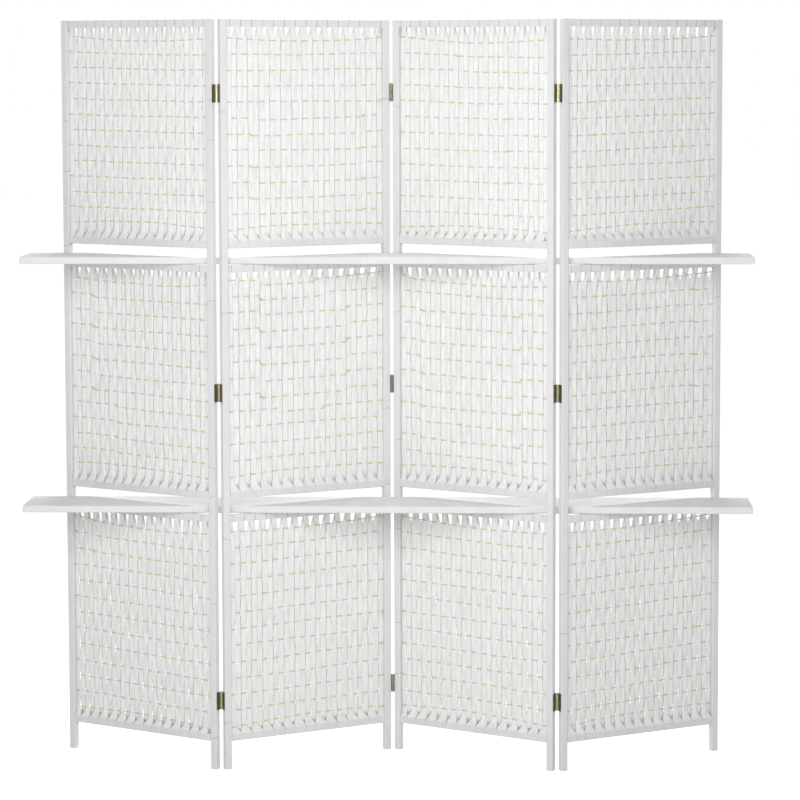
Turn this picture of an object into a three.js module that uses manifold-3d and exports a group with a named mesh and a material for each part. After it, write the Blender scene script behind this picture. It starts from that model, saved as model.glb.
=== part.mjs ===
// Four-panel folding screen with two shelves, in millimetres, +Z up, standing on the plane z = 0.
// The panels stand in a zigzag along X, and both shelves run straight through a slot in every panel.
// Each panel is a frame of two posts and six rails. Its three fields are sheets of upright twisted
// paper strips, wound round the rails above and below, and three brass hinges join the posts at a fold.
import * as THREE from "three";
import { mergeVertices } from "three/addons/utils/BufferGeometryUtils.js";
import Module from "manifold-3d";

// Overall
const screenHeight = 1800;
const panelWidth = 450;
const foldAngle = THREE.MathUtils.degToRad(30); // how far each panel is turned from flat
const screenShift = 5; // the screen's middle stands this far right of the shelves' middle

// Posts and rails
const postWidth = 17.5;
const postDepth = 16;
const legHeight = 68;
const railHeight = 18;
const railDepth = 16.5;
const slotHeight = 39.5;
const lowerFieldHeight = 514.5;
const middleFieldHeight = 524;
const tenonLength = 8;
const tenonShoulder = 1.5;

// Woven sheets
const sleeveWall = 1.6; // paper wound round a rail
const stripsAcross = 29;
const crestHalf = 2.2; // half a strip's thickness at its middle
const valleyHalf = 0.8; // half the sheet's thickness between two strips
const edgeGap = 0.8; // between the outermost strips and the posts
const crestShares = [0.5]; // of a strip's width, where its crest lies

// Shelves
const shelfOverhang = 72.5; // past the outermost corners of the end posts
const shelfPlay = 16.8; // between a shelf's edge and the posts that it passes
const shelfThickness = 17;
const shelfCornerRadius = 3;
const cornerSteps = 3;

// Hinges
const leafHeight = 43;
const leafReach = 16.5; // from the pin's axis to the leaf's far edge
const leafThickness = 1.4;
const leafPlay = 0.6; // between the two leaves when the panels are flat
const barrelRadius = 3;
const barrelSides = 12;
const pinRadius = 1.2;
const pinPlay = 0.3;
const pinProud = 1;
const knuckleGap = 0.5;
const topHingeDrop = 175; // from the posts' tops to the hinge's middle
const middleHingeHeight = 912;
const bottomHingeHeight = 167;

// Clearances
const seatGap = 0.3; // between seated pieces
const cutOverrun = 1; // how far a cut runs past the face it opens

// Heights that follow
const footRailBase = legHeight;
const lowerSillBase = footRailBase + railHeight + lowerFieldHeight;
const lowerHeaderBase = lowerSillBase + railHeight + slotHeight;
const upperSillBase = lowerHeaderBase + railHeight + middleFieldHeight;
const upperHeaderBase = upperSillBase + railHeight + slotHeight;
const topRailBase = screenHeight - railHeight;

// Widths that follow, in a panel's own frame: its centre is the origin and +X runs along it
const panelHalf = panelWidth / 2;
const openingHalf = panelHalf - postWidth; // from the centre to a post's inner face
const postHalfDepth = postDepth / 2;
const railHalfDepth = railDepth / 2;
const coreHalfDepth = railHalfDepth - sleeveWall - seatGap;
const coreInset = sleeveWall + seatGap; // from a rail's top or bottom to its wooden core
const tenonHalfDepth = coreHalfDepth - tenonShoulder;
const tenonInset = coreInset + tenonShoulder;

// The fold: a pin's axis lies half the gap past the panel's end, and one barrel radius off its face
const foldGap = 2 * (seatGap + leafThickness) + leafPlay;
const pivotAlong = panelHalf + foldGap / 2;
const pivotOff = postHalfDepth + barrelRadius;
const panelPitch = 2 * (pivotAlong * Math.cos(foldAngle) + pivotOff * Math.sin(foldAngle));

// The shelves fill the straight way that the zigzag leaves between its folds, less their play
const wayHalf = openingHalf * Math.sin(foldAngle) - postHalfDepth * Math.cos(foldAngle);
const shelfDepth = 2 * (wayHalf - shelfPlay);
const panels = ["panel_1", "panel_2", "panel_3", "panel_4"];
const screenHalf =
  (panelPitch * (panels.length - 1)) / 2 +
  panelHalf * Math.cos(foldAngle) +
  postHalfDepth * Math.sin(foldAngle);
const shelfLength = 2 * (screenHalf + shelfOverhang);

const rails = [
  { name: "foot_rail", base: footRailBase },
  { name: "lower_sill", base: lowerSillBase },
  { name: "lower_header", base: lowerHeaderBase },
  { name: "upper_sill", base: upperSillBase },
  { name: "upper_header", base: upperHeaderBase },
  { name: "top_rail", base: topRailBase },
];
const fields = [
  { name: "lower_weave", under: footRailBase, over: lowerSillBase },
  { name: "middle_weave", under: lowerHeaderBase, over: upperSillBase },
  { name: "upper_weave_and_top_rail", under: upperHeaderBase, over: topRailBase },
];
const hinges = [
  { name: "bottom", height: bottomHingeHeight },
  { name: "middle", height: middleHingeHeight },
  { name: "top", height: screenHeight - topHingeDrop },
];

const wrappedPost = new THREE.MeshStandardMaterial({ color: 0xf2f1ee, roughness: 0.75, metalness: 0 });
const railWood = new THREE.MeshStandardMaterial({ color: 0xd9c39a, roughness: 0.6, metalness: 0 });
const twistedPaper = new THREE.MeshStandardMaterial({ color: 0xf4f3f0, roughness: 0.85, metalness: 0 });
const shelfPaper = new THREE.MeshStandardMaterial({ color: 0xf3f2ef, roughness: 0.7, metalness: 0 });
const antiqueBrass = new THREE.MeshStandardMaterial({ color: 0x9a7b3c, roughness: 0.4, metalness: 1 });

const wasm = await Module();
wasm.setup();

// A closed three.js geometry as a solid that can be cut and joined.
function solid(geometry) {
  geometry.deleteAttribute("normal");
  geometry.deleteAttribute("uv");
  const merged = mergeVertices(geometry);
  const mesh = new wasm.Mesh({
    numProp: 3,
    vertProperties: merged.getAttribute("position").array,
    triVerts: new Uint32Array(merged.index.array),
  });
  return new wasm.Manifold(mesh);
}

// A solid's faces as a geometry, flat shaded.
function geometryOf(made) {
  const mesh = made.getMesh();
  const indexed = new THREE.BufferGeometry();
  indexed.setAttribute("position", new THREE.BufferAttribute(mesh.vertProperties, mesh.numProp));
  indexed.setIndex(new THREE.BufferAttribute(mesh.triVerts, 1));
  const flat = indexed.toNonIndexed();
  flat.computeVertexNormals();
  return flat;
}

// A block between two opposite corners, given in any order.
function block(cornerA, cornerB) {
  const a = new THREE.Vector3(...cornerA);
  const b = new THREE.Vector3(...cornerB);
  const middle = a.clone().add(b).divideScalar(2);
  const box = new THREE.BoxGeometry(Math.abs(a.x - b.x), Math.abs(a.y - b.y), Math.abs(a.z - b.z));
  return solid(box.translate(middle.x, middle.y, middle.z));
}

// An upright cylinder on the Z axis between two heights.
function upright(radius, low, high) {
  const cylinder = new THREE.CylinderGeometry(radius, radius, high - low, barrelSides);
  return solid(cylinder.rotateX(Math.PI / 2).translate(0, 0, (low + high) / 2));
}

// A bar along a panel at a rail's place, inset from the rail's outside, ending past the opening by "past".
function railBar(base, halfDepth, inset, past) {
  const end = openingHalf + past;
  return block([-end, -halfDepth, base + inset], [end, halfDepth, base + railHeight - inset]);
}

// A post's outline with a mortise for every rail's tenon. side is -1 for the left post, 1 for the right.
function post(side) {
  let made = block(
    [side * openingHalf, -postHalfDepth, 0],
    [side * panelHalf, postHalfDepth, screenHeight],
  );
  const halfDepth = tenonHalfDepth + seatGap;
  for (const rail of rails) {
    const low = rail.base + tenonInset - seatGap;
    const high = rail.base + railHeight - tenonInset + seatGap;
    const mouth = side * (openingHalf - cutOverrun);
    const bottom = side * (openingHalf + tenonLength + seatGap);
    made = made.subtract(block([mouth, -halfDepth, low], [bottom, halfDepth, high]));
  }
  return geometryOf(made);
}

// The wooden core of a rail, with a tenon at each end.
function railCore(base) {
  const bar = railBar(base, coreHalfDepth, coreInset, -seatGap);
  const tenons = railBar(base, tenonHalfDepth, tenonInset, tenonLength);
  return geometryOf(bar.add(tenons));
}

// The upright strips of a sheet as one slab: a row of crests and valleys in plan, drawn out upwards.
function stripSlab(low, high) {
  const half = openingHalf - edgeGap;
  const stripPitch = (2 * half) / stripsAcross;
  const front = [];
  for (let strip = 0; strip < stripsAcross; strip += 1) {
    const start = -half + strip * stripPitch;
    front.push(new THREE.Vector2(start, -valleyHalf));
    for (const share of crestShares) {
      front.push(new THREE.Vector2(start + share * stripPitch, -crestHalf));
    }
  }
  front.push(new THREE.Vector2(half, -valleyHalf));
  const back = front.map((p) => new THREE.Vector2(p.x, -p.y)).reverse();
  const outline = new THREE.Shape([...front, ...back]);
  const slab = new THREE.ExtrudeGeometry(outline, { depth: high - low, bevelEnabled: false });
  return solid(slab.translate(0, 0, low));
}

// The paper wound round a rail, open at both ends for the rail's core.
function sleeve(base) {
  const outside = railBar(base, railHalfDepth, 0, -seatGap);
  const bore = railBar(base, railHalfDepth - sleeveWall, sleeveWall, cutOverrun);
  return outside.subtract(bore);
}

// A woven sheet between two rails. The top one of a panel holds its rail as one piece with it.
function wovenSheet(field) {
  const low = field.under + railHeight - sleeveWall / 2;
  const high = field.over + sleeveWall / 2;
  const strips = stripSlab(low, high).add(sleeve(field.under));
  if (field.over !== topRailBase) {
    return geometryOf(strips.add(sleeve(field.over)));
  }
  const rail = railBar(topRailBase, railHalfDepth, 0, -seatGap);
  const tenons = railBar(topRailBase, tenonHalfDepth, tenonInset, tenonLength);
  return geometryOf(strips.add(rail.add(tenons)));
}

// A hinge leaf about the pin's axis. side is -1 where its post lies to the left and 1 to the right;
// off is 1 where the pin lies behind the panels and -1 where it lies in front of them.
// The left leaf has the outer knuckles and the pin, the right leaf the middle knuckle.
function hingeLeaf(side, off) {
  const low = -leafHeight / 2;
  const knuckleHeight = (leafHeight - 2 * knuckleGap) / 3;
  const postFace = side * (foldGap / 2 - seatGap);
  const outerFace = side * (foldGap / 2 - seatGap - leafThickness);
  const plateEdge = -off * (barrelRadius + knuckleGap);
  let made = block([postFace, plateEdge, low], [outerFace, -off * leafReach, -low]);
  const step = knuckleHeight + knuckleGap;
  const places = side < 0 ? [0, 2] : [1];
  for (const place of places) {
    const bottom = low + place * step;
    const top = bottom + knuckleHeight;
    const bridge = block([postFace, 0, bottom], [outerFace, 2 * plateEdge, top]);
    made = made.add(bridge).add(upright(barrelRadius, bottom, top));
  }
  if (side < 0) {
    return geometryOf(made.add(upright(pinRadius, low - pinProud, pinProud - low)));
  }
  return geometryOf(made.subtract(upright(pinRadius + pinPlay, low, -low)));
}

// A board with slightly rounded upright corners, its middle at the origin and its underside at z = 0.
function shelfBoard() {
  const x = shelfLength / 2;
  const y = shelfDepth / 2;
  const r = shelfCornerRadius;
  const outline = new THREE.Shape();
  outline.absarc(x - r, y - r, r, 0, Math.PI / 2);
  outline.absarc(r - x, y - r, r, Math.PI / 2, Math.PI);
  outline.absarc(r - x, r - y, r, Math.PI, (3 * Math.PI) / 2);
  outline.absarc(x - r, r - y, r, (3 * Math.PI) / 2, 2 * Math.PI);
  const settings = { depth: shelfThickness, bevelEnabled: false, curveSegments: cornerSteps };
  return geometryOf(solid(new THREE.ExtrudeGeometry(outline, settings)));
}

function piece(name, geometry, material) {
  const mesh = new THREE.Mesh(geometry, material);
  mesh.name = name;
  return mesh;
}

const screen = new THREE.Group();
screen.name = "folding_screen_with_shelves";

// The panels, turned one way and the other by turns about their own middles
panels.forEach((panelName, index) => {
  const panel = new THREE.Group();
  panel.position.x = screenShift + (index - (panels.length - 1) / 2) * panelPitch;
  panel.rotation.z = index % 2 === 0 ? -foldAngle : foldAngle;
  panel.add(piece(`${panelName}_left_post`, post(-1), wrappedPost));
  panel.add(piece(`${panelName}_right_post`, post(1), wrappedPost));
  for (const rail of rails) {
    if (rail.base !== topRailBase) {
      panel.add(piece(`${panelName}_${rail.name}`, railCore(rail.base), railWood));
    }
  }
  for (const field of fields) {
    panel.add(piece(`${panelName}_${field.name}`, wovenSheet(field), twistedPaper));
  }

  // Each end that meets a neighbour carries three leaves: pins lie behind a front fold, before a rear one
  for (const side of [-1, 1]) {
    const fold = index + (side + 1) / 2;
    if (fold > 0 && fold < panels.length) {
      const off = fold % 2 === 1 ? 1 : -1;
      for (const hinge of hinges) {
        const leafSide = -side;
        const leafName = leafSide < 0 ? "left_leaf" : "right_leaf";
        const leaf = piece(`fold_${fold}_${hinge.name}_${leafName}`, hingeLeaf(leafSide, off), antiqueBrass);
        leaf.position.set(side * pivotAlong, off * pivotOff, hinge.height);
        panel.add(leaf);
      }
    }
  }
  screen.add(panel);
});

// The shelves lie on the sills, on the zigzag's middle line
for (const [name, sillBase] of [
  ["lower_shelf", lowerSillBase],
  ["upper_shelf", upperSillBase],
]) {
  const shelf = piece(name, shelfBoard(), shelfPaper);
  shelf.position.z = sillBase + railHeight + seatGap;
  screen.add(shelf);
}

export default screen;
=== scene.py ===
import bpy
import numpy as np
from math import pi
from mathutils import Euler, Matrix, Vector


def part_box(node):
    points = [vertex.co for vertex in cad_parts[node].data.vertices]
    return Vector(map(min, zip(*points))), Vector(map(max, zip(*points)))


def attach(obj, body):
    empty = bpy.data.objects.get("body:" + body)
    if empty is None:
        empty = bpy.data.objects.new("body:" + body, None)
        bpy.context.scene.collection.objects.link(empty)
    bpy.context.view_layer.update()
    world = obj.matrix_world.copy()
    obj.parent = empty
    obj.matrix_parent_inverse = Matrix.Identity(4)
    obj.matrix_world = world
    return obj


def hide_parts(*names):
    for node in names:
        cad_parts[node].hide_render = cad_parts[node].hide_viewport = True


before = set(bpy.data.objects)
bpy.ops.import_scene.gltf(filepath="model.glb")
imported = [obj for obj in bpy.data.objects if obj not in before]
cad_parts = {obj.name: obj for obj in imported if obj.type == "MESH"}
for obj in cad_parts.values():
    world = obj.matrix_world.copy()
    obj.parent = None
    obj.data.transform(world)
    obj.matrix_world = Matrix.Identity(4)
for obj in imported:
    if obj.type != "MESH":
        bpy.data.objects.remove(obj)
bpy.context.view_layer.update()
print("frame loaded:", len(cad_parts), "nodes")

mm = 0.001  # every shape below is worked out in millimetres and placed in metres


def linear(hexColour):
    # an sRGB hex value as the linear colour that Blender mixes
    parts = [int(hexColour[i:i + 2], 16) / 255 for i in (1, 3, 5)]
    return [p / 12.92 if p <= 0.04045 else ((p + 0.055) / 1.055) ** 2.4 for p in parts] + [1.0]


def addNode(material, kind, values=None, links=None):
    # A node with its settings, its socket values and the sockets that feed it. A colour Mix takes its factor
    # in socket 0 and its colours in sockets 6 and 7, and gives the mixed colour in output 2.
    node = material.node_tree.nodes.new(kind)
    for key, value in (values or {}).items():
        if isinstance(key, int) or key in node.inputs:
            node.inputs[key].default_value = value
        else:
            setattr(node, key, value)
    for key, source in (links or {}).items():
        material.node_tree.links.new(source, node.inputs[key])
    return node


def newMaterial(name, shader):
    # a Principled material with its plain values, and its shader node
    material = bpy.data.materials.new(name)
    material.use_nodes = True
    principled = material.node_tree.nodes["Principled BSDF"]
    for key, value in shader.items():
        principled.inputs[key].default_value = value
    return material, principled


def ramp(material, source, stops):
    # a colour ramp whose stops are (place, hex colour)
    node = addNode(material, "ShaderNodeValToRGB", links={0: source})
    while len(node.color_ramp.elements) < len(stops):
        node.color_ramp.elements.new(0.5)
    for element, (place, colour) in zip(node.color_ramp.elements, stops):
        element.position = place
        element.color = linear(colour)
    return node.outputs[0]


def noise(material, place, scale, detail, more=None):
    # a noise texture's value at a place
    return addNode(material, "ShaderNodeTexNoise", {"Scale": scale, "Detail": detail, **(more or {})},
                   {"Vector": place}).outputs[0]


def scaled(material, place, scale, shift=(0.0, 0.0, 0.0)):
    # a place scaled along each axis and then shifted
    return addNode(material, "ShaderNodeMapping", {"Scale": scale, "Location": shift},
                   {"Vector": place}).outputs[0]


def ranged(material, value, before, after):
    # a value between the two numbers of "before", brought to between the two of "after"
    return addNode(material, "ShaderNodeMapRange",
                   {"From Min": before[0], "From Max": before[1], "To Min": after[0], "To Max": after[1]},
                   {"Value": value}).outputs[0]


def surface(material, principled, colour, layers):
    # the shader's colour, and bump nodes one on another: each layer is (height, distance in metres, strength)
    below = {}
    for height, distance, strength in layers:
        node = addNode(material, "ShaderNodeBump", {"Distance": distance, "Strength": strength},
                       {"Height": height, **below})
        below = {"Normal": node.outputs[0]}
    material.node_tree.links.new(colour, principled.inputs["Base Color"])
    material.node_tree.links.new(node.outputs[0], principled.inputs["Normal"])


def wrappingPaper(name, light, dark, creases, creased):
    # Soft white craft paper pasted round wood: matt, mottled every 45 mm, with fibres 1.2 mm apart, coarser
    # than real ones so that they show, and here and there a flattened crease, a shallow groove with painted
    # shade along it. A crease is an edge between Voronoi cells, given as their number in a metre along x, y
    # and z, where the mottle is strong enough. The first UV says how far a place lies down in a seam between
    # two turns of the paper, and painted shade darkens the colour there.
    material, principled = newMaterial(name, {"Roughness": 0.78, "Specular IOR Level": 0.3,
                                              "Sheen Weight": 0.12, "Sheen Roughness": 0.6})
    coordinates = addNode(material, "ShaderNodeTexCoord").outputs
    place = coordinates["Object"]
    mottle = noise(material, place, 1 / 0.045, 4.0)
    fibre = noise(material, place, 1 / 0.0012, 3.0)
    crease = addNode(material, "ShaderNodeTexVoronoi",
                     {"feature": "DISTANCE_TO_EDGE", "Scale": 1.0, "Randomness": 0.8},
                     {"Vector": scaled(material, place, creases)})
    edge = ranged(material, crease.outputs[0], (0.0, 0.05), (1.0, 0.0))
    patch = ranged(material, mottle, (0.5, 0.62), (0.0, creased))
    line = addNode(material, "ShaderNodeMath", {"operation": "MULTIPLY"}, {0: edge, 1: patch}).outputs[0]
    base = ramp(material, mottle, [(0.3, dark), (0.7, light)])
    # painted shade: the colour is darkened a little along the creases, on the same line as their groove
    creaseShaded = addNode(material, "ShaderNodeMix",
                     {"data_type": "RGBA", "blend_type": "MULTIPLY", 7: linear("#F4F4F2")},
                     {0: line, 6: base})
    # painted shade in the seams: the first UV darkens the colour down to this grey
    sunk = addNode(material, "ShaderNodeSeparateXYZ", links={0: coordinates["UV"]})
    shade = ramp(material, sunk.outputs[0], [(0.1, "#FFFFFF"), (0.5, "#B4B4B2"), (1.0, "#565654")])
    seamShaded = addNode(material, "ShaderNodeMix", {"data_type": "RGBA", "blend_type": "MULTIPLY", 0: 1.0},
                     {6: creaseShaded.outputs[2], 7: shade})
    surface(material, principled, seamShaded.outputs[2],
            [(line, 0.0003, -0.3), (mottle, 0.0015, 0.15), (fibre, 0.0002, 0.3)])
    return material


def twistedPaper():
    # Strips of paper twisted and pressed flat: matt, with pleats along the strip, 2.5 mm apart and 45 mm
    # long, painted shade in the folds between them, tones that change over 9 mm across and 60 mm along it,
    # and fibres 1 mm apart, coarser than real ones so that they show. UV is in millimetres, across and along
    # the strip. Light passes through it a little.
    material, principled = newMaterial("twisted paper", {"Roughness": 0.8, "Specular IOR Level": 0.25,
                                                         "Subsurface Weight": 0.4, "Subsurface Scale": 0.0015,
                                                         "Subsurface Radius": (1.0, 1.0, 1.0)})
    coordinates = addNode(material, "ShaderNodeTexCoord").outputs
    pleats = scaled(material, coordinates["UV"], (1 / 2.5, 1 / 45, 1.0))
    crease = noise(material, pleats, 1.0, 3.0, {"Roughness": 0.6, "Distortion": 0.4})
    tone = noise(material, scaled(material, coordinates["UV"], (1 / 9, 1 / 60, 1.0)), 1.0, 2.0)
    # painted shade: the pleats' folds, low in the bump, are darker
    fold = ramp(material, crease, [(0.36, "#E3E3E3"), (0.5, "#F0F0F0"), (1.0, "#F5F5F5")])
    shade = ramp(material, tone, [(0.3, "#F7F7F7"), (0.7, "#FFFFFF")])
    base = addNode(material, "ShaderNodeMix", {"data_type": "RGBA", "blend_type": "MULTIPLY", 0: 1.0},
                   {6: fold, 7: shade})
    fibre = noise(material, coordinates["Object"], 1 / 0.001, 2.0)
    surface(material, principled, base.outputs[2], [(crease, 0.0007, 0.27), (fibre, 0.0002, 0.3)])
    return material


def strawTwine():
    # Two-ply twine of straw-coloured grass: dull gold, with lighter and darker fibres 0.5 mm apart and 6 mm
    # long. UV is in millimetres, round and along the twine.
    material, principled = newMaterial("straw twine", {"Roughness": 0.7, "Specular IOR Level": 0.35,
                                                       "Sheen Weight": 0.2})
    along = addNode(material, "ShaderNodeTexCoord").outputs["UV"]
    fibre = noise(material, scaled(material, along, (1 / 0.5, 1 / 6, 1.0)), 1.0, 3.0)
    base = ramp(material, fibre, [(0.3, "#C5BC8C"), (0.55, "#DDD7B2"), (0.75, "#EBE7CC")])
    surface(material, principled, base, [(fibre, 0.0004, 0.6)])
    return material


def antiqueBrass(name, axis, paintedHighlightRadius, dull, shine):
    # Brass darkened by a chemical patina, with stains 4 mm apart, and a painted highlight on the knuckles,
    # which
    # are smoother there too: within the radius round the pin, fading over 0.4 mm
    material, principled = newMaterial(name, {"Metallic": 1.0})
    place = addNode(material, "ShaderNodeTexCoord").outputs["Object"]
    centred = scaled(material, place, (1.0, 1.0, 0.0), (-axis[0], -axis[1], 0.0))
    away = addNode(material, "ShaderNodeVectorMath", {"operation": "LENGTH"}, {0: centred})
    # how much of the painted highlight a place gets: all of it within the radius round the pin
    paintedHighlight = ranged(material, away.outputs[1], (paintedHighlightRadius, paintedHighlightRadius + 0.0004), (1.0, 0.0))
    stain = noise(material, place, 1 / 0.004, 5.0)
    patina = ramp(material, stain, [(0.35, "#706B50"), (0.6, "#8D876A"), (0.8, "#A8A288")])
    bright = ramp(material, stain, [(0.3, dull), (0.65, shine)])
    base = addNode(material, "ShaderNodeMix", {"data_type": "RGBA"}, {0: paintedHighlight, 6: patina, 7: bright})
    rough = ranged(material, paintedHighlight, (0.0, 1.0), (0.48, 0.3))
    material.node_tree.links.new(rough, principled.inputs["Roughness"])
    surface(material, principled, base.outputs[2], [(stain, 0.0002, 0.3)])
    return material


def railWood():
    # Planed softwood under the paper: pale, with a straight grain 2.5 mm apart and 83 mm long
    material, principled = newMaterial("planed softwood", {"Roughness": 0.6})
    place = addNode(material, "ShaderNodeTexCoord").outputs["Object"]
    ring = noise(material, scaled(material, place, (12.0, 400.0, 400.0)), 1.0, 4.0)
    base = ramp(material, ring, [(0.35, "#C9A574"), (0.65, "#E3CBA0")])
    surface(material, principled, base, [(ring, 0.0002, 0.3)])
    return material


postPaper = wrappingPaper("white paper on the posts", "#E2E2E3", "#DDDDDE", (200.0, 200.0, 30.0), 0.6)
shelfPaper = wrappingPaper("white paper on the shelves", "#E6E6E6", "#E0E0E0", (66.0, 24.0, 66.0), 0.8)
bandPaper = wrappingPaper("white paper bands on the rails", "#E1E1E1", "#DBDBDB", (160.0, 160.0, 40.0), 0.8)
weavePaper = twistedPaper()
twineStraw = strawTwine()
coreWood = railWood()
print("materials made")


def together(*parts):
    # arrays brought to one shape and set side by side along a new last axis
    return np.stack(np.broadcast_arrays(*parts), axis=-1)


def ringsToFaces(points, sizes):
    # A tube: points[ring, place round it]. A face joins each ring's neighbours to the next ring's, and the
    # ends are closed by strips of four-cornered faces. sizes[ring, place] gives the UVs as (across, along),
    # and the last face round a ring runs on by as much as the first one does.
    rings, around = points.shape[:2]
    index = np.arange(rings * around).reshape(rings, around)
    nextPlace = np.roll(index, -1, axis=1)
    quads = together(index[:-1], nextPlace[:-1], nextPlace[1:], index[1:]).reshape(-1, 4)
    closing = sizes[:, :1].copy()
    closing[:, 0, 0] = sizes[:, -1, 0] + (sizes[:, 1, 0] - sizes[:, 0, 0])
    wrapped = np.concatenate([sizes, closing], axis=1)
    here, beside = wrapped[:, :-1], wrapped[:, 1:]
    uv = np.stack([here[:-1], beside[:-1], beside[1:], here[1:]], axis=-2).reshape(-1, 2)
    i = np.arange(around // 2 - 1)
    end = together(i, i + 1, around - 2 - i, around - 1 - i)
    quads = np.concatenate([quads, end[:, ::-1], end + (rings - 1) * around])
    uv = np.concatenate([uv] + [np.tile(sizes[ring, 0], (end.size, 1)) for ring in (0, -1)])
    return points.reshape(-1, 3), quads, uv


def makePiece(name, blocks, material, body, replaced=()):
    # joins tubes of points in metres into one mesh, and hands the piece to the frame
    starts = np.cumsum([0] + [len(block[0]) for block in blocks[:-1]])
    points = np.concatenate([block[0] for block in blocks])
    quads = np.concatenate([block[1] + start for block, start in zip(blocks, starts)])
    uv = np.concatenate([block[2] for block in blocks])
    mesh = bpy.data.meshes.new(name)
    mesh.vertices.add(len(points))
    mesh.vertices.foreach_set("co", points.astype(np.float32).ravel())
    mesh.loops.add(quads.size)
    mesh.loops.foreach_set("vertex_index", quads.astype(np.int32).ravel())
    mesh.polygons.add(len(quads))
    mesh.polygons.foreach_set("loop_start", np.arange(0, quads.size, 4, dtype=np.int32))
    mesh.polygons.foreach_set("use_smooth", np.ones(len(quads), dtype=bool))
    mesh.uv_layers.new(name="UVMap")
    mesh.uv_layers[0].data.foreach_set("uv", uv.astype(np.float32).ravel())
    mesh.update(calc_edges=True)
    mesh.materials.append(material)
    piece = bpy.data.objects.new(name, mesh)
    bpy.context.collection.objects.link(piece)
    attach(piece, body)
    if replaced:
        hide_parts(*replaced)


def roundedSection(halfWidth, halfHeight, radius, perSide=0):
    # A rounded rectangle, counterclockwise from its lower right corner, and the way out at each point. A
    # point a little beyond each end of a rounding keeps the flat side flat under smooth shading. perSide
    # more points go along the top and along the bottom.
    beyond, perCorner = 0.3, 4  # mm, points
    corners = [(1, -1, -pi / 2), (1, 1, 0), (-1, 1, pi / 2), (-1, -1, pi)]
    angles = np.linspace(0, pi / 2, perCorner)
    places, ways = [], []
    for signX, signY, start in corners:
        centre = np.array([signX * (halfWidth - radius), signY * (halfHeight - radius)])
        way = together(np.cos(start + angles), np.sin(start + angles))
        before, after = np.array([-way[0, 1], way[0, 0]]), np.array([-way[-1, 1], way[-1, 0]])
        arc = centre + radius * way
        places.append(np.concatenate([arc[:1] - beyond * before, arc, arc[-1:] + beyond * after]))
        ways.append(np.concatenate([way[:1], way, way[-1:]]))
    if perSide:
        split = np.linspace(0, 1, perSide + 2)[1:-1, None]
        for side in (1, 3):
            first, last = places[side][-1], places[(side + 1) % 4][0]
            places[side] = np.concatenate([places[side], first + (last - first) * split])
            ways[side] = np.concatenate([ways[side], np.tile(ways[side][-1], (perSide, 1))])
    return np.concatenate(places), np.concatenate(ways)


def smoothNoise(rng, rows, columns, reach):
    # random values averaged along each row by a bell curve, and brought back to a spread of 1
    offset = np.arange(columns)[:, None] - np.arange(columns)[None, :]
    bell = np.exp(-0.5 * (offset / reach) ** 2)
    bell /= np.sqrt((bell ** 2).sum(axis=1, keepdims=True))
    return rng.normal(size=(rows, columns)) @ bell.T


def lapRings(middles, depths, start, end, wrap):
    # Places and depths of the rings along a wrapped piece. Round the middle of each lap or seam is a group of
    # rings, "out" mm from it, that dip in by "shape" times its depth. Three more round off either end: they
    # lie "endIn" mm from it and dip in by "endDip" mm.
    endIn, endDip = np.array(wrap["endIn"]), np.array(wrap["endDip"])
    places = (middles[:, None] + np.array(wrap["out"])).ravel()
    dips = (depths[:, None] * np.array(wrap["shape"])).ravel()
    places = np.concatenate([start + endIn, places, end - endIn[::-1]])
    return places, np.concatenate([endDip, dips, endDip[::-1]])


def wrapAlong(section, ways, laps, depths, slants, start, end, wrap):
    # A section carried along a wrapped post or shelf: its rings, how far along each of their points lies, and
    # the UVs. A lap's slant times a point's way across, and a share of its way back or up, moves it along.
    place, dip = lapRings(laps, depths, start, end, wrap)
    tilt = np.pad(np.repeat(slants, len(wrap["out"])), len(wrap["endIn"]))
    rings = section[None] - ways[None] * dip[:, None, None]
    along = place[:, None] + tilt[:, None] * (section[:, 0] + wrap["skew"] * section[:, 1])
    # the first UV: how dark the painted shade in each lap's line is; the rings at either end get none
    sunk = dip / wrap["dip"] * wrap["shade"]
    sunk[:3] = sunk[-3:] = 0.0
    return rings, along, together(sunk[:, None], along)


class Panel:
    # Where a panel stands: its middle, the ways along it and to its back, and its sizes from the CAD. A post
    # turned with its panel has a box w c + d s by w s + d c, for its width w, its depth d and the cosine c
    # and sine s of the turn, and that gives w and d.
    def __init__(self, number):
        self.body = f"panel_{number}"
        leftLow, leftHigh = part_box(f"{self.body}_left_post")
        rightLow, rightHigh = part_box(f"{self.body}_right_post")
        left = np.array(leftLow + leftHigh)[:2] / 2
        right = np.array(rightLow + rightHigh)[:2] / 2
        span = right - left
        self.middle = (left + right) / 2
        self.along = span / np.hypot(*span)
        self.back = np.array([-self.along[1], self.along[0]])
        self.hand = 1.0 if self.along[1] > 0 else -1.0  # the side to which the paper's bands hook
        boxX, boxY = (leftHigh - leftLow)[0], (leftHigh - leftLow)[1]
        c, s = abs(self.along[0]), abs(self.along[1])
        self.postWidth = (boxX * c - boxY * s) / (c * c - s * s) / mm
        self.postDepth = (boxY * c - boxX * s) / (c * c - s * s) / mm
        self.postCentre = np.hypot(*span) / 2 / mm
        self.opening = self.postCentre - self.postWidth / 2  # from the middle to a post
        self.height = leftHigh[2] / mm

    def place(self, points):
        # from millimetres along the panel, to its back and up, to metres in the frame
        x, y, z = np.moveaxis(np.asarray(points) * mm, -1, 0)
        return together(self.middle[0] + x * self.along[0] + y * self.back[0],
                        self.middle[1] + x * self.along[1] + y * self.back[1], z)


panels = [Panel(number) for number in (1, 2, 3, 4)]


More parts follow.
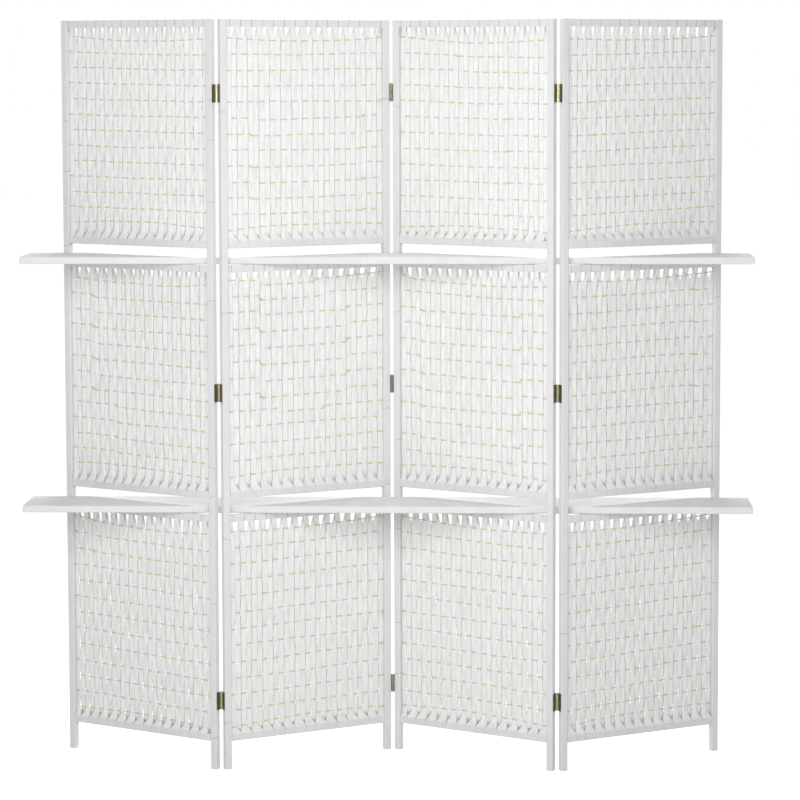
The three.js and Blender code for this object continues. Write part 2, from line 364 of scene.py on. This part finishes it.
# A sheet is one long strip of twisted paper wound round its two rails: up the front, over the upper rail,
# down the back one pitch further on, under the lower rail and up again. Rows of twine hold the front and
# back runs in one plane: they pass before one run and behind the next.
weave = {
    "rows": 13,             # rows of twine
    "firstRow": 24.0,       # mm from a rail to the nearest row
    "bow": (-8.0, -2.0, 0, 0, 0, 0, 0, 0, 0, 0, 0, 1.5, 8.0),  # mm that a row's middle lies higher
    "sway": (0.8, 14),      # mm that a row wanders up and down, and over how many places
    "places": 121,          # places across a sheet where the heights of the rows are worked out
    "float": 0.85,          # mm that a run lies before or behind the sheet's plane at a row
    "overlap": 1.5,         # mm that two runs overlap between two rows
    "pinch": 1.45,          # mm that a run's edge draws in at a row
    "pinchReach": 6.5,      # mm above and below a row where it does
    "pressed": 0.35,        # share by which a run is thinner at a row
    "pressedReach": 5.0,    # mm above and below a row where it is
    "ahead": 8.0,           # mm that a front run leans aside to the upper rail
    "behind": 12.0,         # mm that a back run leans there the other way, so that a front run hides it
    "leanFrom": 27.6,       # mm below the upper rail where this begins
    "pitch": 14.31,         # mm from run to run where the widths below were taken
    "halfThick": 0.42,      # mm, half a run's thickness in the sheet
    "halfThickRail": 0.4,   # mm, pressed flat on a rail
    "thickFrom": (6.667, 8.0),     # mm from the lower and the upper rail where it has its full thickness
    "halfWidthUpper": (6.9, 5.5),  # mm, half a front and a back run's width just under the upper rail
    "narrowFrom": 16.0,            # mm below the upper rail where it begins to narrow to that
    "flareUp": (0.0, 2.0, 4.0, 8.0, 13.0, 20.0),          # mm above the lower rail
    "flareOpen": (20.3, 19.4, 17.0, 13.0, 9.8, 7.5),      # mm from a run's middle to its edge that hooks out
    "flareClosed": (11.4, 12.0, 12.0, 11.2, 9.5, 7.5),    # mm to its other edge
    "railDepth": 16.5,      # mm, a rail's outside depth
    "railEdge": 0.5,        # mm from the sheet to the last point of a run on a rail's face
    "corner": 1.8,          # mm, radius of a run's bend at a rail's edge
    "sleeveUnder": 0.3,     # mm that the runs lie under the sleeve's face on a rail
    "easeLower": 2.6,       # how soon a run leaves the lower rail's face for the sheet's plane, 1 is straight
    "easeUpper": 1.6,       # the same at the upper rail
    "postGap": 0.25,        # mm from a post to the nearest run's edge
    "widthNoise": (0.018, 5),  # share by which a run's width varies along it, and over how many points
    "placeNoise": (0.25, 9),   # mm that a run wanders aside, and over how many points
    "thickNoise": (0.12, 3),   # share by which its thickness varies, and over how many points
    "turnNoise": (0.045, 6),   # radians that it turns about its length, and over how many points
    "turnWhole": 0.03,         # radians that it turns as a whole
    "ripple": (0.08, 2.2),     # share by which its faces ripple, and over how many points
    "rippleFrom": 0.45,        # mm, half the thickness from which they do
    "stations": 105,        # points along a run between its rails
    # a run's section: a low ridge left of the middle and blunt edges, in shares of half width and thickness
    "across": (-1.0, -0.62, -0.12, 0.5, 0.95, 1.0, 0.62, 0.12, -0.5, -0.95),
    "out": (0.3, 0.86, 1.0, 0.88, 0.5, -0.3, -0.86, -1.0, -0.88, -0.5),
}
band = {  # the bands that the runs make round a rail
    "round": 1.9,                          # mm, radius of the rail's edges
    "gap": 0.3,                            # mm from a post to the sleeve of bands
    "seam": {"lower": 20.5, "upper": 0.6}, # mm from a front run's middle in the sheet to its band's seam
    "stray": 0.35,                         # mm that a seam lies off its place
    "clear": 5.5,                          # mm at either end of the sleeve without a seam
    "deep": 1.3,                           # mm, how deep a seam is
    "uneven": (0.35, 1.1),                 # least and most share of that
    "shade": {"lower": (1.0, 0.6), "middle": (0.65, 0.6), "upper": (0.65, 0.75)},  # painted shade in its seams, at its two rails
    "shadeLow": 0.25,                      # share of that at the foot of a lower rail
    "shadeRise": 1.6,                      # how fast it grows with the height, where 1 is over all of it
    "out": (-3.6, -1.8, -0.6, -0.36, 0.36, 0.6, 1.8, 3.6),
    "shape": (0.0, 0.03, 0.15, 1.0, 1.0, 0.15, 0.03, 0.0),
    "endIn": (0.0, 0.6, 1.4),
    "endDip": (0.8, 0.1, 0.0),
}
twine = {
    "radius": 1.5,         # mm
    "wave": 0.6,           # mm that it swings to the front and to the back
    "step": 2.0,           # mm between two rings
    "lay": 16.0,           # mm in which the two plies turn once
    "ply": 0.2,            # how far the plies stand out, as a share of the radius
    "tuck": 0.8,           # mm that a row runs on into a post
    "lapOver": 3.5,        # mm that an end runs on past a break
    "level": 0.3,          # mm before a break from where it keeps its height
    "wander": (0.25, 5),   # mm that it wanders up and down, and over how many rings
}

# Each sheet: how many runs, whether odd rows pass before the front runs, how many mm the top row lies higher
# at the left and at the right post and the bottom row likewise, and the breaks where the twine was joined:
# (mm along the panel, first row, last row, mm up to the right of it, whether the order flips)
sheets = {
    (1, "upper"): (31, False, (4.0, -3.8, 10.9, 5.6), [(-45, 1, 10, 0.3, False)]),
    (1, "middle"): (30, False, (-1.0, -6.8, 17.1, 3.2), [(-140, 2, 8, -6.0, True),
                                                         (-70, 9, 12, -4.0, False)]),
    (1, "lower"): (30, False, (8.1, -3.4, -3.9, -14.5), [(-150, 1, 3, -3.5, True), (65, 4, 9, -1.0, False)]),
    (2, "upper"): (29, True, (-2.6, 0.1, 0.6, 6.5), [(-142, 6, 12, -3.9, True), (155, 6, 12, 3.9, True)]),
    (2, "middle"): (29, True, (5.3, 17.8, 7.4, 15.1), [(-122, 1, 8, -11.7, True), (23, 1, 1, 6.0, True),
                                                       (45, 2, 2, 7.8, True), (110, 3, 8, 9.2, True),
                                                       (-70, 9, 9, -9.5, True), (48, 9, 9, 6.7, True)]),
    (2, "lower"): (29, True, (1.2, 11.1, -9.9, -1.7), []),
    (3, "upper"): (30, True, (1.6, -9.4, -1.6, -7.7), [(-45, 2, 4, -2.0, True), (95, 5, 13, 2.5, True)]),
    (3, "middle"): (29, True, (7.3, -4.8, 12.7, 0.9), [(-150, 3, 12, -6.0, False), (-180, 1, 1, -6.0, False),
                                                       (128, 3, 12, 8.5, True)]),
    (3, "lower"): (29, True, (9.3, -3.3, 1.2, -3.3), []),
    (4, "upper"): (31, True, (-4.8, 4.5, -2.8, 9.4), [(-140, 2, 9, 0.4, True), (165, 8, 12, 0.4, True)]),
    (4, "middle"): (30, True, (3.4, 14.0, 9.0, 19.1), [(150, 2, 8, -3.0, True)]),
    (4, "lower"): (30, False, (1.8, 18.7, -5.6, 8.6), [(160, 2, 9, -1.0, True)]),
}
# each sheet's node, and the core of its lower rail
fields = {"lower": ("lower_weave", "foot_rail"), "middle": ("middle_weave", "lower_header"),
          "upper": ("upper_weave_and_top_rail", "upper_header")}


def sheetPlan(panel, number, field, rng):
    # Heights of the rails, places of the runs, and the height and order of the rows at each run. A row's
    # height is its level, a bow that falls off with the square of the way to a post, a tilt from post to
    # post, a little noise, and a step at each break.
    strips, oddBefore, corners, breaks = sheets[number, field]
    low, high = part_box(f"{panel.body}_{fields[field][0]}")
    coreLow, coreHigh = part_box(f"{panel.body}_{fields[field][1]}")
    railHeight = (coreHigh[2] + coreLow[2] - 2 * low[2]) / mm  # the core lies in the rail's middle
    pitch = 2 * panel.opening / strips
    plan = {"strips": strips, "low": low[2] / mm, "high": high[2] / mm, "railHeight": railHeight,
            "pitch": pitch, "scale": pitch / weave["pitch"]}
    plan["bottom"] = plan["low"] + railHeight
    plan["top"] = plan["high"] - railHeight
    plan["x"] = -panel.opening + pitch * (np.arange(strips) + 0.5)
    rows = weave["rows"]
    rowPitch = (plan["top"] - plan["bottom"] - 2 * weave["firstRow"]) / (rows - 1)
    fine = np.linspace(-panel.opening, panel.opening, weave["places"])
    swayHeight, swayReach = weave["sway"]
    sway = smoothNoise(rng, rows, fine.size, swayReach) * swayHeight
    heights = np.zeros((rows, fine.size))
    before = np.zeros((rows, strips), dtype=bool)
    stretches = []
    front = np.arange(strips) % 2 == 0
    for row in range(rows):
        joins = [(at, up, flip) for at, first, last, up, flip in breaks if first <= row + 1 <= last]
        level = plan["top"] - weave["firstRow"] - rowPitch * row
        bow = weave["bow"][row] * (1 - (fine / panel.opening) ** 2)
        share = row / (rows - 1)
        ends = [corners[side] * (1 - share) + corners[side + 2] * share for side in (0, 1)]
        tilt = np.interp(fine, [-panel.opening, panel.opening], ends)
        heights[row] = level + bow + tilt + sway[row] + sum(up * (fine > at) for at, up, flip in joins)
        flips = sum([plan["x"] > at for at, up, flip in joins if flip], np.zeros(strips, dtype=int))
        odd = row % 2 == 0
        before[row] = (front == (odd == oddBefore)) ^ (flips % 2 == 1)
        outer = panel.opening + twine["tuck"]
        edges = [-outer] + [at for at, up, flip in joins] + [outer]
        stretches += [(row, start, end) for start, end in zip(edges[:-1], edges[1:])]
    plan.update(heights=heights, fine=fine, before=before, stretches=stretches)
    return plan


def runDepths(plan, front, depth, sheetZ):
    # How far each run lies behind the sheet's plane between its rails, and how far each point is from the
    # nearest row. From row to row it goes as a cosine between the two sides of the twine, and from a rail's
    # face to the first row as 1 - (1 - share)^power.
    aside = weave["float"]
    rowsHere = np.stack([np.interp(plan["x"], plan["fine"], h) for h in plan["heights"]])  # rows, strips
    side = np.where(plan["before"], 1.0, -1.0)  # +1 where the twine passes before the run
    sheetY = np.zeros((plan["strips"], sheetZ.size))
    near = np.zeros((plan["strips"], sheetZ.size))
    for k in range(plan["strips"]):
        levels, sides = rowsHere[::-1, k], side[::-1, k]
        place = np.interp(sheetZ, levels, np.arange(levels.size, dtype=float))
        lower = np.clip(np.floor(place).astype(int), 0, levels.size - 2)
        blend = (1 - np.cos(pi * (place - lower))) / 2
        sheetY[k] = aside * (sides[lower] * (1 - blend) + sides[lower + 1] * blend)
        face = -depth if front[k] else depth
        for level, edge, end, power in ((levels[0], plan["bottom"], sides[0], weave["easeLower"]),
                                        (levels[-1], plan["top"], sides[-1], weave["easeUpper"])):
            part = (sheetZ - edge) / (level - edge)
            eased = 1 - np.maximum(1 - part, 0) ** power
            sheetY[k] = np.where(part < 1, face + (aside * end - face) * eased, sheetY[k])
        near[k] = np.abs(sheetZ[:, None] - levels[None, :]).min(axis=1)
    return sheetY, near


def runPath(panel, plan, rng):
    # Centre line, half width, half thickness and turn of every run, from under the lower rail to over the
    # upper one. On a rail a run follows the sleeve's inside, with a quarter circle round the rail's edge. Its
    # width goes from the flare above the lower rail to its width in the sheet and then to that under the
    # upper rail, less a bell curve at each row. Its edges stop short of the posts.
    thinRail, corner, edge = weave["halfThickRail"], weave["corner"], weave["railEdge"]
    sunk = thinRail + weave["sleeveUnder"]
    depth = weave["railDepth"] / 2 - sunk
    flat = depth - corner
    turn = np.array([pi / 8, pi / 4, 3 * pi / 8])
    lowZ, highZ = plan["low"] + sunk, plan["high"] - sunk
    underY = np.concatenate([[0.0, -depth / 2, -flat], -flat - corner * np.sin(turn), [-depth] * 3])
    underZ = np.concatenate([[lowZ] * 3, lowZ + corner * (1 - np.cos(turn)),
                             [lowZ + corner, (plan["low"] + plan["bottom"]) / 2, plan["bottom"] - edge]])
    overY = np.concatenate([[-depth] * 3, -flat - corner * np.cos(turn), [-flat, -depth / 2, 0.0]])
    overZ = np.concatenate([[plan["top"] + edge, (plan["top"] + plan["high"]) / 2, highZ - corner],
                            highZ - corner * (1 - np.sin(turn)), [highZ] * 3])
    front = (np.arange(plan["strips"]) % 2 == 0)[:, None]
    sign = np.where(front, 1.0, -1.0)
    sheetZ = np.linspace(plan["bottom"], plan["top"], weave["stations"] + 2)[1:-1]
    sheetY, near = runDepths(plan, front[:, 0], depth, sheetZ)
    near = np.pad(near, ((0, 0), (underY.size, overY.size)), constant_values=np.inf)
    y = np.concatenate([sign * underY, sheetY, sign * overY], axis=1)
    z = np.concatenate([underZ, sheetZ, overZ])
    up, down = np.maximum(z - plan["bottom"], 0), np.maximum(plan["top"] - z, 0)  # mm from either rail

    def uneven(name):
        # smooth noise along each run, of this name's amount and reach
        amount, reach = weave[name]
        return amount * smoothNoise(rng, plan["strips"], z.size, reach)

    # Round a rail a front run leans to the last run below and to the next run above, a back run the other
    # way. Its lower end hooks aside, and its upper end leans aside until a front run hides each back run.
    rail = np.where(down == 0, 1.0, 0.0) - np.where(up == 0, 1.0, 0.0)
    xs = plan["x"][:, None] + sign * rail * (1 - np.abs(y) / depth) * plan["pitch"] / 2
    opened, closed = [np.interp(up, weave["flareUp"], weave[name]) for name in ("flareOpen", "flareClosed")]
    flared = up < weave["flareUp"][-1]
    hook = np.where(flared, (opened - closed) / 2, 0.0)
    lean = np.where(front, -weave["ahead"], weave["behind"]) * np.clip(1 - down / weave["leanFrom"], 0, 1)
    xs = xs + (hook + lean) * plan["scale"] * panel.hand
    halfSheet = plan["pitch"] / 2 + weave["overlap"] / 2
    upper = np.where(front, *weave["halfWidthUpper"]) * plan["scale"]
    narrow = halfSheet - (halfSheet - upper) * (1 - np.clip(down / weave["narrowFrom"], 0, 1))
    wide = np.where(flared, np.maximum((opened + closed) / 2 * plan["scale"], narrow), narrow)
    wide = wide - weave["pinch"] * np.exp(-(near / weave["pinchReach"]) ** 2)
    wide *= 1 + uneven("widthNoise")
    xs = xs + uneven("placeNoise")
    limit = panel.opening - weave["postGap"]
    leftEdge = np.maximum(xs - wide, -limit)
    rightEdge = np.minimum(xs + wide, limit)
    full = np.clip(np.minimum(up / weave["thickFrom"][0], down / weave["thickFrom"][1]), 0, 1)
    thick = (thinRail + (weave["halfThick"] - thinRail) * full) * (1 + uneven("thickNoise") * full)
    thick *= 1 - weave["pressed"] * np.exp(-(near / weave["pressedReach"]) ** 2)
    roll = (uneven("turnNoise") + weave["turnWhole"] * rng.normal(size=(plan["strips"], 1))) * full
    z = np.broadcast_to(z, y.shape)
    return (leftEdge + rightEdge) / 2, y, z, (rightEdge - leftEdge) / 2, thick, roll, sign


def railSleeve(panel, plan, rail, shade, rng):
    # The bands that the runs make round a rail: a rounded box along the rail, with a groove at each band's
    # edge. A ring's back lies one run further along than its front, as the winding goes, and less near the
    # sleeve's square ends.
    base, depth, lag = plan["low" if rail == "lower" else "top"], weave["railDepth"], plan["pitch"]
    section, ways = roundedSection(depth / 2, plan["railHeight"] / 2, band["round"], perSide=2)
    half = panel.opening - band["gap"]
    seams = plan["x"][::2] + panel.hand * band["seam"][rail] * plan["scale"]
    seams = seams + band["stray"] * rng.normal(size=seams.size)
    seams = seams[np.abs(seams) < half - band["clear"]]
    x, dip = lapRings(seams, band["deep"] * rng.uniform(*band["uneven"], seams.size), -half, half, band)
    apart = 1.05  # over 1, so that the rings' backs don't meet at the right end
    fade = np.clip(np.minimum((x + half) / lag, (half - x) / (lag * apart)), 0, 1)
    share = (section[:, 0] + depth / 2) / depth
    along = x[:, None] + lag * fade[:, None] * share
    rings = section[None] - ways[None] * dip[:, None, None]
    points = together(along, rings[..., 0], rings[..., 1] + base + plan["railHeight"] / 2)
    # the painted shade in the seams is darkest in the front face's upper part on a lower rail, and all the
    # way down on an upper one
    rise = section[:, 1] / plan["railHeight"] + 0.5
    paintedShadeByHeight = np.ones(rise.size)
    if rail == "lower":
        paintedShadeByHeight = np.clip(rise * band["shadeRise"], band["shadeLow"], 1.0)
    sunk = np.clip(dip / band["deep"], 0, 1)[:, None] * shade * paintedShadeByHeight
    sunk[:3] = sunk[-3:] = 0.0
    return ringsToFaces(panel.place(points), together(sunk, along))


def sheetPaper(panel, field, plan, rng):
    # One long ribbon: the runs joined end to end, back runs taken from the top down, and the bands on its
    # two rails. A run's section stands square to its centre line and is turned about it.
    xs, y, z, wide, thick, roll, sign = runPath(panel, plan, rng)
    sectionAcross, sectionOut = np.array(weave["across"]), np.array(weave["out"])
    strips, stations = y.shape
    alongY, alongZ = np.gradient(y, axis=1), np.gradient(z, axis=1)
    length = np.hypot(alongY, alongZ)
    outY, outZ = -sign * alongZ / length, sign * alongY / length
    amount, reach = weave["ripple"]
    ripple = smoothNoise(rng, strips * sectionOut.size, stations, reach)
    ripple = np.moveaxis(ripple.reshape(strips, sectionOut.size, stations), 1, 2)
    ripple = ripple * (amount * (thick > weave["rippleFrom"]))[..., None]
    across = wide[..., None] * sectionAcross
    out = thick[..., None] * (sectionOut + ripple * np.abs(sectionOut))
    turned = across * np.cos(roll)[..., None] + out * np.sin(roll)[..., None]
    raised = out * np.cos(roll)[..., None] - across * np.sin(roll)[..., None]
    points = together(xs[..., None] + turned, y[..., None] + outY[..., None] * raised,
                      z[..., None] + outZ[..., None] * raised)
    points[1::2] = points[1::2, ::-1]
    rings = np.concatenate([points[0]] + [run[1:] for run in points[1:]])
    step = np.sqrt((np.diff(rings.mean(axis=1), axis=0) ** 2).sum(axis=-1))
    along = np.concatenate([[0.0], np.cumsum(step)])
    girth = np.concatenate([[0.0], np.cumsum(np.abs(np.diff(sectionAcross)))]) * plan["pitch"] / 2
    sizes = together(girth[None, :], along[:, None])
    node = f"{panel.body}_{fields[field][0]}"
    bands = [railSleeve(panel, plan, rail, shade, rng)
             for rail, shade in zip(("lower", "upper"), band["shade"][field])]
    makePiece(f"{panel.body}_{field}_bands", bands, bandPaper, panel.body, [node])
    makePiece(f"{panel.body}_{field}_strips", [ringsToFaces(panel.place(rings), sizes)], weavePaper,
              panel.body, [node])


def sheetTwine(panel, field, plan, rng):
    # Rows of two-ply twine: a section of two lobes that turns along the row. It runs on the front of a run
    # that lies behind it and on the back of one before it, as half a sine between two runs.
    around = np.arange(6) * pi / 3
    wander, reach = twine["wander"]
    blocks = []
    for row, start, end in plan["stretches"]:
        first = start - (twine["lapOver"] if start > -panel.opening else 0.0)
        last = end + (twine["lapOver"] if end < panel.opening else 0.0)
        count = int((last - first) / twine["step"]) + 1
        x = np.linspace(first, last, count)
        inside = np.clip(x, start + twine["level"], end - twine["level"])
        z = np.interp(inside, plan["fine"], plan["heights"][row])
        z = z + wander * smoothNoise(rng, 1, count, reach)[0]
        side = np.where(plan["before"][row], -1.0, 1.0)
        y = twine["wave"] * np.sin(np.interp(x, plan["x"], side) * pi / 2)
        turn = around[None, :] - x[:, None] * 2 * pi / twine["lay"]
        radius = twine["radius"] * (1 + twine["ply"] * np.cos(2 * turn))
        points = together(x[:, None], y[:, None] + radius * np.cos(around),
                          z[:, None] + radius * np.sin(around))
        sizes = together((around * twine["radius"])[None, :], x[:, None])
        blocks.append(ringsToFaces(panel.place(points), sizes))
    makePiece(f"{panel.body}_{field}_twine", blocks, twineStraw, panel.body,
              [f"{panel.body}_{fields[field][0]}"])


for number, panel in enumerate(panels, start=1):
    for order, field in enumerate(fields):
        rng = np.random.default_rng(100 * number + order)
        plan = sheetPlan(panel, number, field, rng)
        sheetPaper(panel, field, plan, rng)
        sheetTwine(panel, field, plan, rng)
    print("woven sheets made on", panel.body)


post = {
    "round": 1.9,            # mm, radius of the wrapped edges
    "lap": (60.0, 190.0),    # mm between two laps of the paper
    "most": 60,              # more laps than a post has room for
    "clear": 20.0,           # mm below the top without a lap
    "strong": 0.22,          # share of laps that stand out
    "dip": 0.6,              # mm, how deep such a lap is at most
    "faint": 0.12,           # mm, the same for the others
    "uneven": (0.7, 1.0),    # least and most share of these depths
    "slant": 0.3,            # most rise of a lap for each mm across the post
    "slanted": (0.2, 1.0),   # least and most share of that slant
    "skew": 0.5,             # rise for each mm to the back, in shares of that across
    "shade": 0.55,           # how dark the painted shade in the deepest lap's line is, where 1 is the darkest painted seam shade
    "out": (-1.7, -0.9, -0.3, 0.3, 0.55, 1.3),
    "shape": (0.0, 0.1, 1.0, 1.0, 0.05, 0.0),
    "endIn": (0.0, 1.2, 2.4),
    "endDip": (1.0, 0.05, 0.0),
}


def wrappedPost(panel, side, rng):
    # a rounded rectangle carried up the post, which dips in at each slanting lap of the paper
    section, ways = roundedSection(panel.postWidth / 2, panel.postDepth / 2, post["round"])
    laps = np.cumsum(rng.uniform(*post["lap"], post["most"]))
    laps = laps[laps < panel.height - post["clear"]]
    strong = rng.random(laps.size) < post["strong"]
    depths = np.where(strong, post["dip"], post["faint"]) * rng.uniform(*post["uneven"], laps.size)
    slants = post["slant"] * rng.choice([-1, 1], laps.size) * rng.uniform(*post["slanted"], laps.size)
    rings, height, sizes = wrapAlong(section, ways, laps, depths, slants, 0.0, panel.height, post)
    points = together(rings[..., 0] + side * panel.postCentre, rings[..., 1], height)
    name = f"{panel.body}_{'left' if side < 0 else 'right'}_post"
    makePiece(name + "_paper", [ringsToFaces(panel.place(points), sizes)], postPaper, panel.body,
              [name])


for number, panel in enumerate(panels, start=1):
    for side in (-1, 1):
        wrappedPost(panel, side, np.random.default_rng(10 * number + side))
print("posts made")


shelf = {
    "round": 2.6,            # mm, radius of the wrapped edges
    "perSide": 14,           # extra points across the top and across the bottom
    "lap": (13.0, 21.0),     # mm between two laps of the paper
    "most": 200,             # more laps than a shelf has room for
    "clear": 9.0,            # mm before the far end without a lap
    "dip": 0.2,              # mm, how deep a lap is at most
    "uneven": (0.2, 1.0),    # least and most share of that depth
    "slant": 0.03,           # how far a lap runs along the board for each mm across it
    "skew": 0.0,             # and for each mm up, in shares of that
    "shade": 0.12,           # how dark the painted shade in the deepest lap's line is, where 1 is the darkest painted seam shade
    "out": (-1.6, -0.9, -0.3, 0.3, 0.55, 1.3),
    "shape": (0.0, 0.1, 1.0, 1.0, 0.05, 0.0),
    "endIn": (0.0, 1.0, 2.2),
    "endDip": (1.2, 0.05, 0.0),
}


def wrappedShelf(name, rng):
    # a rounded board carried along its length, which dips in at each lap of the paper
    low, high = [np.array(corner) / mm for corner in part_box(name)]
    size, middle = high - low, (high + low) / 2
    section, ways = roundedSection(size[1] / 2, size[2] / 2, shelf["round"], shelf["perSide"])
    laps = np.cumsum(rng.uniform(*shelf["lap"], shelf["most"])) + low[0]
    laps = laps[laps < high[0] - shelf["clear"]]
    depths = shelf["dip"] * rng.uniform(*shelf["uneven"], laps.size)
    slants = shelf["slant"] * rng.normal(size=laps.size)
    rings, along, sizes = wrapAlong(section, ways, laps, depths, slants, low[0], high[0], shelf)
    points = together(along, rings[..., 0] + middle[1], rings[..., 1] + middle[2])
    makePiece(name + "_paper", [ringsToFaces(points * mm, sizes)], shelfPaper, name, [name])


for order, name in enumerate(("lower_shelf", "upper_shelf")):
    wrappedShelf(name, np.random.default_rng(7 + order))
print("shelves made")


hinge = {
    "levels": ("bottom", "middle", "top"),
    "barrel": 3.0,        # mm, radius of the knuckles
    "paintedHighlight": 5.5,        # mm from the pin within which the knuckles get a painted highlight
    "reach": 10.0,        # mm from the pin to the screws
    "plate": 1.7,         # mm from the post's side to the leaf's outer face
    "screwUp": 14.0,      # mm from the leaf's middle to a screw
    "screwRadius": 2.3,   # mm, countersunk head
    "screwProud": 0.16,   # mm, how far the head's crown stands out
    "screwRings": (1.0, 0.94, 0.6, 0.3),     # places of its rings, in shares of the radius
    "screwCrown": (-0.25, 0.55, 0.9, 1.0),   # how far they stand out, in shares of the crown
    "slot": (0.45, 2.2, 0.35),               # mm, half the slot's width, half its length and its depth
    "knuckleFront": ("#B2AF96", "#D2D0BC"),  # dull and bright stops of the knuckles' painted highlight at the front folds
    "knuckleRear": ("#7E7A68", "#A9A592"),   # and at the rear one, a duller and darker painted highlight
}


def screwHead(panel, side, y, z):
    # a flat crowned head: rings from the rim inwards, the middle ones pressed in along the slot's line
    around = np.arange(12) * pi / 6
    radii = np.array(hinge["screwRings"])[:, None] * hinge["screwRadius"]
    crown = np.array(hinge["screwCrown"])[:, None] * hinge["screwProud"]
    halfWide, halfLong, deep = hinge["slot"]
    x = crown - deep * ((np.abs(np.sin(around)) * radii < halfWide) & (radii < halfLong))
    face = side * (panel.postCentre + panel.postWidth / 2 + hinge["plate"])
    points = together(face + side * x, y + side * radii * np.cos(around), z + radii * np.sin(around))
    sizes = together(around, radii)
    return ringsToFaces(panel.place(points), sizes)


for fold in (1, 2, 3):
    boxes = [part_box(f"fold_{fold}_{level}_{leaf}_leaf") for level in hinge["levels"]
             for leaf in ("left", "right")]
    low = np.min([np.array(b[0]) for b in boxes], axis=0)
    high = np.max([np.array(b[1]) for b in boxes], axis=0)
    behind = fold != 2  # at the rear fold the pins stand before the panels
    pinY = high[1] - hinge["barrel"] * mm if behind else low[1] + hinge["barrel"] * mm
    pin = ((low[0] + high[0]) / 2, pinY)
    tones = hinge["knuckleFront"] if behind else hinge["knuckleRear"]
    brass = antiqueBrass(f"antique brass, fold {fold}", pin, hinge["paintedHighlight"] * mm, *tones)
    for leaf, panel, side in (("left", panels[fold - 1], 1), ("right", panels[fold], -1)):
        y = (1 if behind else -1) * (panel.postDepth / 2 + hinge["barrel"] - hinge["reach"])
        heads = []
        for level in hinge["levels"]:
            node = f"fold_{fold}_{level}_{leaf}_leaf"
            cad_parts[node].material_slots[0].material = brass
            leafLow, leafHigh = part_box(node)
            middle = (leafLow[2] + leafHigh[2]) / 2 / mm
            heads += [screwHead(panel, side, y, middle + up) for up in (-hinge["screwUp"], hinge["screwUp"])]
        makePiece(f"fold_{fold}_{leaf}_screws", heads, brass, panel.body)

# the rails' wooden cores
for name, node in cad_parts.items():
    if name.endswith(("rail", "sill", "header")) and "weave" not in name:
        node.material_slots[0].material = coreWood
print("hinges made")


stageLight = {
    "frontPlace": (-0.15, -2.6, 1.8),  # m, a softbox before the screen, a little to the left
    "frontSize": 1.6,                  # m
    "frontPower": 45.0,                # W
    "backPlace": (0.0, 0.8, 3.2),      # m, another above and behind, for the shelves' tops
    "backSize": 1.6,                   # m
    "backPower": 50.0,                 # W
    "aim": (0.0, 0.0, 1.0),            # m, the place that both are turned to
    "fill": 0.42,                      # the world's own light on the object
    "floorGlow": 0.62,                 # the floor's extra light for the camera
    "floorHalf": 30.0,                 # m, half the floor's side
}


def paleFloor():
    # near-white floor: it also shines a little for the camera, so that it reads as the white backdrop
    # while its own shading keeps the screen's shadow
    material, principled = newMaterial("pale floor", {"Base Color": linear("#F4F4F4"), "Roughness": 0.9,
                                                      "Specular IOR Level": 0.1,
                                                      "Emission Color": (1.0, 1.0, 1.0, 1.0)})
    ray = addNode(material, "ShaderNodeLightPath")
    glow = addNode(material, "ShaderNodeMath", {"operation": "MULTIPLY", 1: stageLight["floorGlow"]},
                   {0: ray.outputs["Is Camera Ray"]})
    material.node_tree.links.new(glow.outputs[0], principled.inputs["Emission Strength"])
    half = stageLight["floorHalf"]
    corners = [(-half, -half, 0), (half, -half, 0), (half, half, 0), (-half, half, 0)]
    mesh = bpy.data.meshes.new("floor")
    mesh.from_pydata(corners, [], [(0, 1, 2, 3)])
    mesh.materials.append(material)
    floor = bpy.data.objects.new("floor", mesh)
    bpy.context.collection.objects.link(floor)


def whiteWorld():
    # white where the camera, a reflection or a see-through surface looks at it, a plain fill elsewhere
    world = bpy.data.worlds.new("studio")
    bpy.context.scene.world = world
    world.use_nodes = True
    background = world.node_tree.nodes["Background"]
    background.inputs["Color"].default_value = (1.0, 1.0, 1.0, 1.0)
    ray = addNode(world, "ShaderNodeLightPath")
    seen = ray.outputs["Is Camera Ray"]
    for name in ("Is Glossy Ray", "Is Transmission Ray"):
        either = addNode(world, "ShaderNodeMath", {"operation": "MAXIMUM"}, {0: seen, 1: ray.outputs[name]})
        seen = either.outputs[0]
    strength = ranged(world, seen, (0.0, 1.0), (stageLight["fill"], 1.0))
    world.node_tree.links.new(strength, background.inputs["Strength"])


def softLamp(name):
    # a large square lamp turned to the screen's middle
    data = bpy.data.lights.new(name + " softbox", "AREA")
    data.shape = "SQUARE"
    data.size = stageLight[name + "Size"]
    data.energy = stageLight[name + "Power"]
    lamp = bpy.data.objects.new(name + " softbox", data)
    place = Vector(stageLight[name + "Place"])
    lamp.rotation_euler = (Vector(stageLight["aim"]) - place).to_track_quat("-Z", "Y").to_euler()
    lamp.location = place
    bpy.context.collection.objects.link(lamp)


paleFloor()
whiteWorld()
softLamp("front")
softLamp("back")

view = {
    "place": (0.3304, -7.0729, 1.6919),  # m
    "sensor": 36.0,                      # mm, the sensor's width
    "lens": 132.415,                     # mm
    "shift": (-0.07, -0.0975),           # shares of the frame: the photograph's uprights hardly converge
    "down": 0.0872,                      # radians that the camera looks down
    "left": 0.0234,                      # radians that it looks to the left
    "roll": -0.001,                      # radians that it is turned about its line of sight
}
camera = bpy.data.objects.new("camera", bpy.data.cameras.new("camera"))
camera.data.sensor_width = view["sensor"]
camera.data.lens = view["lens"]
camera.data.shift_x, camera.data.shift_y = view["shift"]
camera.location = view["place"]
turned = Euler((pi / 2 - view["down"], 0.0, view["left"])).to_matrix() @ Matrix.Rotation(view["roll"], 3, "Z")
camera.rotation_euler = turned.to_euler()
bpy.context.collection.objects.link(camera)
bpy.context.scene.camera = camera
bpy.context.scene.view_settings.view_transform = "Standard"
print("floor, light and camera made")
